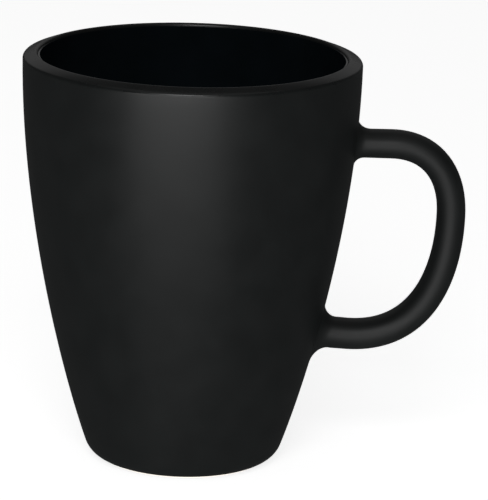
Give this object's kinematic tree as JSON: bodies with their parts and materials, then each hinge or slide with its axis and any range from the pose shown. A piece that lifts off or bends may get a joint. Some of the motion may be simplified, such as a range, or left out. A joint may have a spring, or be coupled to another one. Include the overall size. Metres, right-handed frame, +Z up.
{
  "type": "mug",
  "caption": "Tapered stoneware mug with a loop handle, a matte black glaze outside, a glossy black glaze inside and a bare foot ring.",
  "frame": {"origin": "on the table, under the middle of the overall length from the cup's far side to the handle's outermost point; the cup's own axis is 14.5 mm towards -X", "axes": "+Z up along the cup, +X towards the handle, Y across the handle's loop"},
  "size_m": [0.1189, 0.09, 0.1104],
  "materials": {
    "fired_stoneware": "bare, dry, fine grained",
    "fired_slip": "bare, dry",
    "matte_black_glaze": "satin matte",
    "glossy_black_glaze": "glossy"
  },
  "bodies": {
    "root": {"cup_body": "fired_stoneware", "handle": "fired_stoneware", "upper_slip_joint": "fired_slip", "lower_slip_joint": "fired_slip", "outer_glaze": "matte_black_glaze", "inner_glaze": "glossy_black_glaze", "base_glaze": "matte_black_glaze"}
  },
  "joints": []
}
